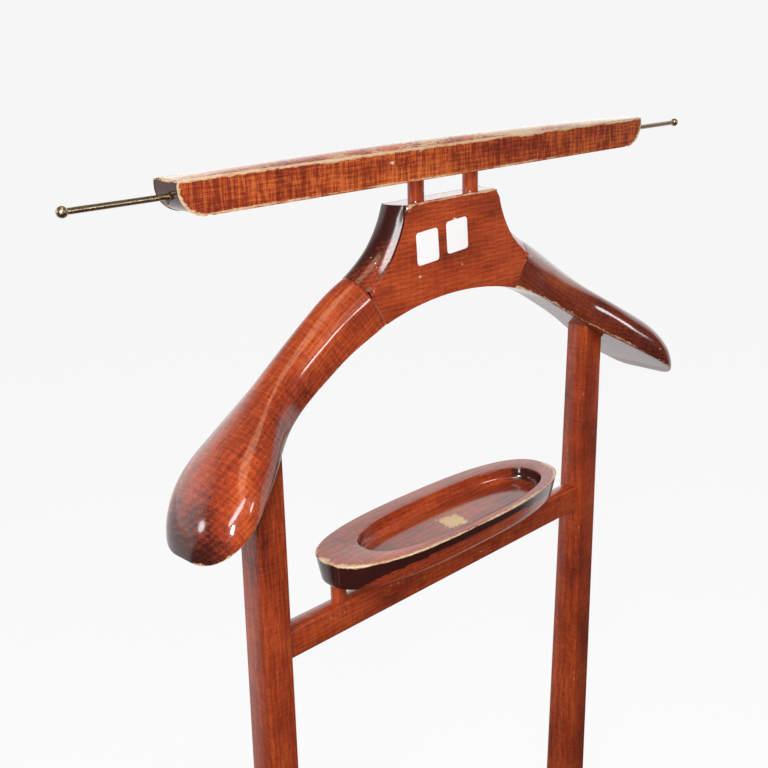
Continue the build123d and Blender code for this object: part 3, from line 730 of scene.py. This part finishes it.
# %% Yoke: outline and mesh
def yoke_outline(y):
    """The outline at one depth, clockwise from the middle of the top. Halving finds the seam."""
    low, high = 0.4, 1.0
    for _ in range(24):
        middle = (low + high) / 2
        if beyond_seam(*yoke_side_at(y, middle)) > 0:
            high = middle
        else:
            low = middle
    side = [yoke_side_at(y, s) for s in spread(0, low, 56, True)]
    seam_top, seam_low = Vector(side[-1]), Vector(SEAM_FOOT)
    seam = [seam_top.lerp(seam_low, t) for t in spread(0, 1, 18)]
    half = [(x, YOKE_TOP_Z, "top") for x in spread(0, side[0][0], 34)]
    half += [(x, z, "side") for x, z in side[:-1]]
    half += [(x, z, "seam") for x, z in seam]
    half += [(x, arch_z(x), "under") for x in spread(seam_low.x, 0, 56)]
    under_mid = [(0.0, arch_z(0.0), "under")]
    other = [(-x, z, kind) for x, z, kind in reversed(half[1:])]
    return softened(half + under_mid + other, YOKE_FRONT_ARRIS if y < 0 else YOKE_BACK_ARRIS)


def yoke_wear(p):
    """The front arris along the top is rubbed tan, most at its left end."""
    top = fade(math.hypot(p.y - YOKE_FRONT, p.z - YOKE_TOP_Z), 1.7)
    corner = fade(Vector((p.x + 42, p.y - YOKE_FRONT, p.z - YOKE_TOP_Z + 1)).length, 6.0)
    return max(top * 0.72, corner * 0.7)


def yoke_heart(x, z):
    """A place on a bent line through the middle of the yoke."""
    return 0.62 * x, 1003.0 - abs(x) * 0.22


yoke_faces = (YOKE_FRONT, YOKE_BACK)
yoke = board("yoke_fine", yoke_outline, yoke_faces, WOODS["yoke"], yoke_heart, yoke_wear, (YOKE_ARRIS, 1.0))
done(yoke, "stand", "yoke_wood", "yoke")

# %% [markdown]
# ## Shoulder arms
# Each arm starts with the yoke's section at a slanted glue seam and grows into a broad rounded
# shoulder that bows to the front. It is flat underneath and domed on top, so every section is half
# of a squared-off oval on a level line. A few stations along the arm say how wide, high and square
# it is there, and a smooth curve through them fills in the rest.

# %% Arms: stations as (X, value)
ARM_END_X = mm_box("shoulder_arm_right")[1].x
NOSE_X, NOSE_POWER, NOSE_LIFT = 197.2, 2.4, 5.6     # from NOSE_X on, the arm closes to its rounded end
UNDER_Z = ((60, 970.0), (90, 958.4), (110, 947.7), (150, 923.6), (185, 901.0), (220, 877.2), (236, 862.9))
HALF_WIDTH = ((60, 10.4), (80, 12.5), (110, 13.6), (150, 17.6), (185, 29.4), (210, 36.2), (236, 38.6))
HEIGHT = ((60, 32.4), (90, 30.8), (120, 30.4), (150, 31.2), (185, 32.2), (236, 32.4))
DOME_POWER = ((60, 2.7), (100, 2.35), (150, 2.2), (236, 2.2))
TOP_LEAN = ((60, 0.24), (100, 0.18), (150, 0.0), (236, 0.0))
AXIS_Y = ((60, 0.5), (80, 1.6), (110, 3.0), (150, 1.4), (185, -6.8), (220, -14.5), (236, -15.4))
UNDER_FRONT_ROUND = ((60, 0.8), (115, 1.2), (160, 4.5), (190, 3.0), (236, 1.5))
UNDER_BACK_ROUND = 1.2
# A turn round a section starts at the dome. The dome, the front arris and the underside end here.
DOME_END, FRONT_END, UNDER_END = 0.7, 0.76, 0.94


# %% Arms: a point of the skin
def arm_point(x, turn):
    """A point of the arm's skin: turn runs 0 to 1 over the dome from back to front, then below."""
    t = max(0.0, (x - NOSE_X) / (ARM_END_X - NOSE_X))
    closing = max(0.0, 1 - t ** NOSE_POWER) ** (1 / NOSE_POWER)
    base = through(UNDER_Z, x) + (1 - closing) * NOSE_LIFT
    half, height = through(HALF_WIDTH, x) * closing, through(HEIGHT, x) * closing
    axis, lean, power = through(AXIS_Y, x), through(TOP_LEAN, x), through(DOME_POWER, x)
    front_round, back_round = through(UNDER_FRONT_ROUND, x) * closing, UNDER_BACK_ROUND * closing
    if turn < DOME_END:
        angle = math.pi * turn / DOME_END
        c, s = math.cos(angle), math.sin(angle)
        across = half * abs(c) ** (2 / power) * (1 if c >= 0 else -1)
        rise = max(0.0, s) ** (2 / power)
        start = back_round if c >= 0 else front_round
        return axis + across, base + start + (height + lean * across - start) * rise
    if turn < FRONT_END:
        angle = math.pi / 2 * (turn - DOME_END) / (FRONT_END - DOME_END)
        return axis - half + front_round * (1 - math.cos(angle)), base + front_round * (1 - math.sin(angle))
    if turn < UNDER_END:
        share = (turn - FRONT_END) / (UNDER_END - FRONT_END)
        return axis - half + front_round + (2 * half - front_round - back_round) * share, base
    angle = math.pi / 2 * (turn - UNDER_END) / (1 - UNDER_END)
    return axis + half - back_round * (1 - math.sin(angle)), base + back_round * (1 - math.cos(angle))


ARM_TURNS = (spread(0, DOME_END, 72) + spread(DOME_END, FRONT_END, 7)
             + spread(FRONT_END, UNDER_END, 12) + spread(UNDER_END, 1.0, 7))


# %% [markdown]
# ## The glued seam
# At the seam the arm and the yoke were planed flush, so the arm's first ring has to be the yoke's
# cut end. Each point of the arm's own section is pushed out or in along a ray until it meets that
# end, and the push fades away over the arm's first stretch.


# %% Seam: the yoke's cut end and how to meet it
def seam_x(turn):
    """Where the slanted seam plane crosses the skin's line at this turn."""
    low, high = 55.0, 110.0
    for _ in range(24):
        middle = (low + high) / 2
        y, z = arm_point(middle, turn)
        if beyond_seam(middle, z) > 0:
            high = middle
        else:
            low = middle
    return low


def seam_section():
    """The yoke's cut end as (y, distance up the seam) points, from its front foot to its back foot."""
    def top(y):
        x, z, _ = max(yoke_outline(y), key=lambda p: p[0])
        return math.hypot(x - SEAM_FOOT[0], z - SEAM_FOOT[1])

    rows = [(YOKE_FRONT, up) for up in spread(0, top(YOKE_FRONT) - YOKE_ARRIS, 12)]
    for a in spread(0, math.pi / 2, 8):
        y = YOKE_FRONT + YOKE_ARRIS * (1 - math.cos(a))
        rows.append((y, top(y) - YOKE_ARRIS * (1 - math.sin(a))))
    rows += [(y, top(y)) for y in spread(YOKE_FRONT + YOKE_ARRIS, YOKE_BACK - 0.01, 24, True)]
    return rows + [(YOKE_BACK, up) for up in spread(rows[-1][1], 0, 12, True)]


def meet(section, centre, y, up):
    """Where the ray from centre through (y, up) leaves the section."""
    way = Vector((y - centre[0], up - centre[1])).normalized()
    best = None
    for (ya, ua), (yb, ub) in zip(section, section[1:] + section[:1]):
        edge, start = Vector((yb - ya, ub - ua)), Vector((ya - centre[0], ua - centre[1]))
        cross = way.x * edge.y - way.y * edge.x
        if abs(cross) < 1e-9:
            continue
        out = (start.x * edge.y - start.y * edge.x) / cross
        share = (start.x * way.y - start.y * way.x) / cross
        if out > 0 and -1e-6 <= share <= 1 + 1e-6 and (best is None or out > best):
            best = out
    return centre[0] + way.x * best, centre[1] + way.y * best


# %% Arms: the two meshes
JOIN_LENGTH = 110.0     # the arm takes this long to pass from the yoke's section to its own
SEAM_CENTRE = (0.0, 15.0)
CUT_END = seam_section()
CROWD_FROM = 0.78       # from this share of the arm's length on, the rings crowd together


def make_arm(side, finish):
    """One arm; side is -1 for the left one."""
    steps = [0.0, 0.0015] + spread(0.012, CROWD_FROM, 54)
    steps += [CROWD_FROM + (1 - CROWD_FROM) * math.sin(a) for a in spread(0, math.pi / 2, 40)]
    starts = [seam_x(turn) for turn in ARM_TURNS]
    shifts = []
    for turn, start in zip(ARM_TURNS, starts):
        y, z = arm_point(start, turn)
        up = (start - SEAM_FOOT[0]) * SEAM_DIR[0] + (z - SEAM_FOOT[1]) * SEAM_DIR[1]
        met_y, met_up = meet(CUT_END, SEAM_CENTRE, y, up)
        shifts.append(Vector(((met_up - up) * SEAM_DIR[0], met_y - y, (met_up - up) * SEAM_DIR[1])))
    rings = []
    for step in steps:
        t = min(1.0, step * (ARM_END_X - SEAM_FOOT[0]) / JOIN_LENGTH)
        left = 1 - t * t * (3 - 2 * t)
        ring = []
        for turn, start, shift in zip(ARM_TURNS, starts, shifts):
            x = start + (ARM_END_X - start) * step
            y, z = arm_point(x, turn)
            ring.append(Vector((side * (x + shift.x * left), y + shift.y * left, z + shift.z * left)))
        rings.append(ring)
    centre = sum(rings[0], Vector()) / len(ARM_TURNS)
    rings[0] = [p + (centre - p).normalized() * 0.2 for p in rings[0]]
    rings.insert(0, [p.lerp(centre, 0.5) for p in rings[0]])
    rings.append([Vector((side * ARM_END_X, *arm_point(ARM_END_X, 0.35)))])

    def wear(p):
        x = min(abs(p.x), ARM_END_X - 0.5)
        y, z = arm_point(x, 0.73)
        return 0.62 * fade(math.hypot(p.y - y, p.z - z), 2.0)

    return skin("shoulder_arm_left_fine" if side < 0 else "shoulder_arm_right_fine", rings, finish, wear)


done(make_arm(-1, WOODS["arm_left"]), "stand", "arm_wood", "shoulder_arm_left")
done(make_arm(1, WOODS["arm_right"]), "stand", "arm_wood", "shoulder_arm_right")

# %% [markdown]
# ## Uprights
# The uprights are deepest at the foot, where their backs lean out, and their tops are cut to the
# arms' undersides. All their arrises are softened a little. Rings of a rounded rectangle, each a
# little shallower than the one below, give the taper and the lean together.

# %% Uprights
TOP_X, FOOT_X, TOP_Y, FOOT_Y = (154.5, 176.8), (156.4, 173.3), (-8.8, 9.0), (-6.9, 31.0)
POST_TOP_Z, POST_FOOT_Z, POST_ROUND = 914.0, 48.0, 1.7


def post_sides(z):
    """Inner and outer X and front and back Y of the right upright at height z."""
    t = (POST_TOP_Z - z) / (POST_TOP_Z - POST_FOOT_Z)
    return [a + (b - a) * t for a, b in zip(TOP_X + TOP_Y, FOOT_X + FOOT_Y)]


def rounded_box(x0, x1, y0, y1, radius, steps=5):
    """A rectangle with round corners, seen from above, as (x, y) points."""
    ring = []
    for cx, cy, start in ((x1 - radius, y0 + radius, -90), (x1 - radius, y1 - radius, 0),
                          (x0 + radius, y1 - radius, 90), (x0 + radius, y0 + radius, 180)):
        for i in range(steps + 1):
            a = math.radians(start + 90 * i / steps)
            ring.append((cx + radius * math.cos(a), cy + radius * math.sin(a)))
    return ring


def make_post(side):
    """One upright; side is -1 for the left one."""
    rings = []
    for step in spread(0, 1, 40, True):
        z = POST_FOOT_Z + (POST_TOP_Z - POST_FOOT_Z) * step
        inner, outer, front, back = post_sides(z)
        ring = []
        for x, y in rounded_box(inner, outer, front, back, POST_ROUND):
            top = through(UNDER_Z, x) + 0.3
            ring.append(Vector((side * x, y, POST_FOOT_Z + (top - POST_FOOT_Z) * step)))
        rings.append(ring)
    name = "upright_left" if side < 0 else "upright_right"

    def wear(p):
        inner, outer, front, back = post_sides(p.z)
        return 0.22 * fade(math.hypot(abs(p.x) - inner, p.y - front), 1.6)

    done(skin(name + "_fine", rings, WOODS["post"], wear), "stand", "frame_wood", name)


for side in (-1, 1):
    make_post(side)

# %% [markdown]
# ## Tray rail
# A straight rail between the uprights carries the tray. Its lower arrises are just softened and its
# top is crowned, so one section is enough, repeated from end to end.

# %% Tray rail
rail_low, rail_high = mm_box("tray_rail")
RAIL_CROWN, RAIL_ROUND = 3.0, 1.5


def rail_ring(x):
    """The rail's section, from its lower front arris round to its crown."""
    y0, y1, z0, z1 = rail_low.y, rail_high.y, rail_low.z, rail_high.z - RAIL_CROWN
    mid, half = (y0 + y1) / 2, (y1 - y0) / 2
    ring = [(y0 + RAIL_ROUND * (1 - math.cos(a)), z0 + RAIL_ROUND * (1 - math.sin(a)))
            for a in spread(0, math.pi / 2, 6, True)]
    ring += [(y1 - RAIL_ROUND * (1 - math.sin(a)), z0 + RAIL_ROUND * (1 - math.cos(a)))
             for a in spread(0, math.pi / 2, 6, True)]
    for a in spread(0, math.pi, 25, True):
        ring.append((mid + half * math.cos(a), z1 + RAIL_CROWN * max(0.0, math.sin(a)) ** 0.8))
    return [Vector((x, y, z)) for y, z in ring]


def rail_wear(p):
    """A trace along the front arris of the crown."""
    return 0.12 * fade(math.hypot(p.y - rail_low.y, p.z - rail_high.z + RAIL_CROWN), 1.6)


rail_rings = [rail_ring(x) for x in spread(rail_low.x, rail_high.x, 60, True)]
rail = skin("tray_rail_fine", rail_rings, WOODS["rail"], rail_wear)
done(rail, "stand", "frame_wood", "tray_rail")

# %% [markdown]
# ## Dish tray
# The tray is a long oval turned and carved from one board. Its sides lean in to a smaller
# underside, and a smooth pool is sunk into its flat top. Every level through it is the same kind
# of oval, so rings of ovals make all of it.

# %% Tray: ovals
TRAY_MID = (tray_low + tray_high) / 2
RIM_HALF = ((tray_high.x - tray_low.x) / 2, (tray_high.y - tray_low.y) / 2)
BASE_HALF, OVAL_POWER, RIM_ROUND, EDGE_ROUND = (112.0, 32.5), 2.6, 1.0, 0.9
POOL_MID, POOL_HALF, POOL_DRAW_IN, FLOOR_ROUND = (4.0, -4.8), (90.0, 26.8), 0.3, 5.0
OVAL_STEPS = 192


def oval_ring(mid, half, z, inset=0.0):
    """A squared-off oval; inset draws it in on every side."""
    ring = []
    for i in range(OVAL_STEPS):
        a = 2 * math.pi * i / OVAL_STEPS
        c, s = math.cos(a), math.sin(a)
        x = (half[0] - inset) * abs(c) ** (2 / OVAL_POWER) * (1 if c >= 0 else -1)
        y = (half[1] - inset) * abs(s) ** (2 / OVAL_POWER) * (1 if s >= 0 else -1)
        ring.append(Vector((mid[0] + x, mid[1] + y, z)))
    return ring


# %% Tray: rings from the underside over the rim to the pool's floor
def tray_rings():
    base_z, rim_z = tray_low.z, tray_high.z
    floor_z = rim_z - POOL_DEPTH
    mid = (TRAY_MID.x, TRAY_MID.y)
    rings = [oval_ring(mid, BASE_HALF, base_z, inset) for inset in (20.0, 6.0)]
    for a in spread(0, math.pi / 2, 4):
        lift, inset = EDGE_ROUND * (1 - math.cos(a)), EDGE_ROUND * (1 - math.sin(a))
        rings.append(oval_ring(mid, BASE_HALF, base_z + lift, inset))
    for t in spread(0.06, 0.94, 14, True):
        half = [f + (r - f) * t ** 0.85 for f, r in zip(BASE_HALF, RIM_HALF)]
        rings.append(oval_ring(mid, half, base_z + (rim_z - base_z) * t))
    for a in spread(math.radians(10), math.pi / 2, 6, True):
        drop, inset = RIM_ROUND * (1 - math.sin(a)), RIM_ROUND * (1 - math.cos(a))
        rings.append(oval_ring(mid, RIM_HALF, rim_z - drop, inset))
    rings += [oval_ring(mid, RIM_HALF, rim_z, inset) for inset in (1.8, 2.8, 4.0, 6.0)]
    for a in spread(0, math.pi / 2, 6):
        drop, outset = EDGE_ROUND * (1 - math.cos(a)), EDGE_ROUND * (1 - math.sin(a))
        rings.append(oval_ring(POOL_MID, POOL_HALF, rim_z - drop, -outset))
    for z in spread(rim_z - EDGE_ROUND, floor_z + FLOOR_ROUND, 6):
        rings.append(oval_ring(POOL_MID, POOL_HALF, z, POOL_DRAW_IN * (rim_z - z) / POOL_DEPTH))
    for a in spread(0, math.pi / 2, 10, True):
        lift, inset = FLOOR_ROUND * (1 - math.sin(a)), FLOOR_ROUND * (1 - math.cos(a))
        rings.append(oval_ring(POOL_MID, POOL_HALF, floor_z + lift, POOL_DRAW_IN + inset))
    return rings + [oval_ring(POOL_MID, POOL_HALF, floor_z, inset) for inset in (9.0, 14.0, 20.0)]


# %% Tray: wear, painted side shade and mesh
# From this share of the way out to the rim, the tray's sides get painted shade.
SIDE_SHADE_FROM = 0.9603


def rim_share(p):
    """0 at the tray's middle and 1 on its rim."""
    across, back = (p.x - TRAY_MID.x) / RIM_HALF[0], (p.y - TRAY_MID.y) / RIM_HALF[1]
    return (abs(across) ** OVAL_POWER + abs(back) ** OVAL_POWER) ** (1 / OVAL_POWER)


def tray_wear(p):
    """The rim's outer arris, rubbed most along the front."""
    if p.z < tray_high.z - 3:
        return 0.0
    inward = RIM_HALF[1] * (1 - rim_share(p))
    front = max(0.0, min(1.0, 0.55 - (p.y - TRAY_MID.y) / RIM_HALF[1]))
    return (0.40 + 0.5 * front) * fade(math.hypot(inward, p.z - tray_high.z), 2.2)


def tray_painted_side_shade(p):
    """Painted shade: the outer sides, which lean in and face down, are darkened."""
    return 1.0 if rim_share(p) > SIDE_SHADE_FROM and p.z < tray_high.z - 0.8 else 0.0


tray = skin("tray_fine", tray_rings(), WOODS["tray"], tray_wear, painted_side_shade=tray_painted_side_shade)
done(tray, "stand", "tray_wood", "tray")

# %% [markdown]
# ## Geometry Nodes for what repeats
# Turned pegs come in pairs and glides in fours. Copying meshes in a loop would do it, but a node
# tree keeps the sizes and the spacing as named inputs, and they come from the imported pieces' boxes.
# Each tree ends by making its copies real, and the result is taken off as a plain mesh.

# %% Node tree helpers
def node_group(name, **sizes):
    """A geometry tree with one named input for each size; returns it and its two end nodes."""
    group = bpy.data.node_groups.new(name, "GeometryNodeTree")
    group.interface.new_socket(name="Geometry", in_out="INPUT", socket_type="NodeSocketGeometry")
    for size, kind in sizes.items():
        group.interface.new_socket(name=size, in_out="INPUT", socket_type=kind)
    group.interface.new_socket(name="Geometry", in_out="OUTPUT", socket_type="NodeSocketGeometry")
    return group, group.nodes.new("NodeGroupInput"), group.nodes.new("NodeGroupOutput")


def on_each_place(group, start, end, places, copy):
    """Copies on the places, moved together, made real and given the finish."""
    stood = add_node(group, "GeometryNodeInstanceOnPoints", {"Points": places, "Instance": copy})
    moved = add_node(group, "GeometryNodeTransform", {
        "Geometry": stood.outputs[0], "Translation": start.outputs["Place"]})
    real = add_node(group, "GeometryNodeRealizeInstances", {"Geometry": moved.outputs[0]})
    finished = add_node(group, "GeometryNodeSetMaterial", {
        "Geometry": real.outputs[0], "Material": start.outputs["Finish"]})
    group.links.new(finished.outputs[0], end.inputs[0])
    return group


# %% From a tree to a plain mesh
def grown(name, group, **values):
    """The tree's result as a plain mesh object."""
    seed_mesh = bpy.data.meshes.new(name + "_start")
    grower = bpy.data.objects.new(name + "_start", seed_mesh)
    bpy.context.scene.collection.objects.link(grower)
    modifier = grower.modifiers.new(name, "NODES")
    modifier.node_group = group
    for item in group.interface.items_tree:
        if item.name in values:
            modifier[item.identifier] = values[item.name]
    bpy.context.view_layer.update()
    settled = grower.evaluated_get(bpy.context.evaluated_depsgraph_get())
    mesh = bpy.data.meshes.new_from_object(settled)
    mesh.name = name
    bpy.data.objects.remove(grower)
    mesh.polygons.foreach_set("use_smooth", [True] * len(mesh.polygons))
    mesh.set_sharp_from_angle(angle=math.radians(40))
    piece = bpy.data.objects.new(name, mesh)
    bpy.context.scene.collection.objects.link(piece)
    print(name, len(mesh.polygons), "faces")
    return piece


# %% [markdown]
# ## Turned pegs
# Two pegs hold the bar on the yoke, and two shorter ones hold the tray on its rail. A peg is a line
# with a circle swept along it, and a mesh line of two points sets the pair apart.

# %% Pegs in pairs
pegs, start, end = node_group("pair_of_pegs", Radius="NodeSocketFloat", Length="NodeSocketFloat",
                              Apart="NodeSocketFloat", Place="NodeSocketVector", Finish="NodeSocketMaterial")
top_end = add_node(pegs, "ShaderNodeCombineXYZ", {"Z": start.outputs["Length"]})
line = add_node(pegs, "GeometryNodeCurvePrimitiveLine", {"End": top_end.outputs[0]})
circle = add_node(pegs, "GeometryNodeCurvePrimitiveCircle", {
    "Resolution": 64, "Radius": start.outputs["Radius"]})
peg = add_node(pegs, "GeometryNodeCurveToMesh", {
    "Curve": line.outputs[0], "Profile Curve": circle.outputs[0], "Fill Caps": True})
step = add_node(pegs, "ShaderNodeCombineXYZ", {"X": start.outputs["Apart"]})
places = add_node(pegs, "GeometryNodeMeshLine", {"Count": 2, "Offset": step.outputs[0]})
on_each_place(pegs, start, end, places.outputs[0], peg.outputs[0])


def peg_pair(name, left, right):
    """Both pegs as one piece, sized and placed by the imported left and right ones."""
    (low, high), (other, _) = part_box(left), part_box(right)
    low, high, other = Vector(low), Vector(high), Vector(other)
    piece = grown(name, pegs, Radius=(high.x - low.x) / 2, Length=high.z - low.z, Apart=other.x - low.x,
                  Place=((low.x + high.x) / 2, (low.y + high.y) / 2, low.z), Finish=WOODS["dowel"])
    done(piece, "stand", "dowel_wood", left, right)


peg_pair("bar_pegs", "bar_dowel_left", "bar_dowel_right")
peg_pair("tray_pegs", "tray_dowel_left", "tray_dowel_right")

# %% [markdown]
# ## Glides
# A nylon ring is nailed under each end of both feet. The hole shows the nail's head, so the ring
# can't be a plain disc: it is a small rectangle swept round a circle, and a grid of two by two
# points stands one at each corner.

# %% Glides
GLIDE_RADIUS, NAIL_HEAD_RADIUS = 0.008, 0.0026
glides, start, end = node_group("four_glides", Middle="NodeSocketFloat", Width="NodeSocketFloat",
                                Thickness="NodeSocketFloat", Wide="NodeSocketFloat", Deep="NodeSocketFloat",
                                Place="NodeSocketVector", Finish="NodeSocketMaterial")
circle = add_node(glides, "GeometryNodeCurvePrimitiveCircle", {
    "Resolution": 64, "Radius": start.outputs["Middle"]})
section = add_node(glides, "GeometryNodeCurvePrimitiveQuadrilateral", {
    "Width": start.outputs["Width"], "Height": start.outputs["Thickness"]})
glide = add_node(glides, "GeometryNodeCurveToMesh", {
    "Curve": circle.outputs[0], "Profile Curve": section.outputs[0]})
corners = add_node(glides, "GeometryNodeMeshGrid", {
    "Size X": start.outputs["Wide"], "Size Y": start.outputs["Deep"], "Vertices X": 2, "Vertices Y": 2})
on_each_place(glides, start, end, corners.outputs[0], glide.outputs[0])
low, high = (Vector(c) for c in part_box("foot_glides"))
piece = grown("glides", glides, Middle=(GLIDE_RADIUS + NAIL_HEAD_RADIUS) / 2,
              Width=GLIDE_RADIUS - NAIL_HEAD_RADIUS, Thickness=high.z - low.z,
              Wide=high.x - low.x - 2 * GLIDE_RADIUS, Deep=high.y - low.y - 2 * GLIDE_RADIUS,
              Place=tuple((low + high) / 2), Finish=PLAIN["nylon"])
done(piece, "stand", "glide_plastic", "foot_glides")

# %% [markdown]
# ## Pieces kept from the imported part
# The feet, the shoe rails, the hidden dowels, the labels and the small brass parts are already the
# right shape there, so making them again would add nothing. They only get their finishes.

# %% Finishes for the kept pieces
KEPT = {
    "foot_left": WOODS["foot"], "foot_right": WOODS["foot"],
    "shoe_rail_front": WOODS["shoe_rail"], "shoe_rail_back": WOODS["shoe_rail"],
    "rod_ferrule_left": PLAIN["dark_brass"], "rod_ferrule_right": PLAIN["dark_brass"],
    "glide_nails": PLAIN["steel"], "price_labels": PLAIN["paper"],
}
for node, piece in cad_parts.items():
    finish = KEPT.get(node)
    if finish is None:
        finish = PLAIN["brass"] if node.startswith(("rod_", "tie_rod")) else PLAIN["raw_beech"]
    for slot in piece.material_slots:
        slot.material = finish
print(len(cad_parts), "nodes")
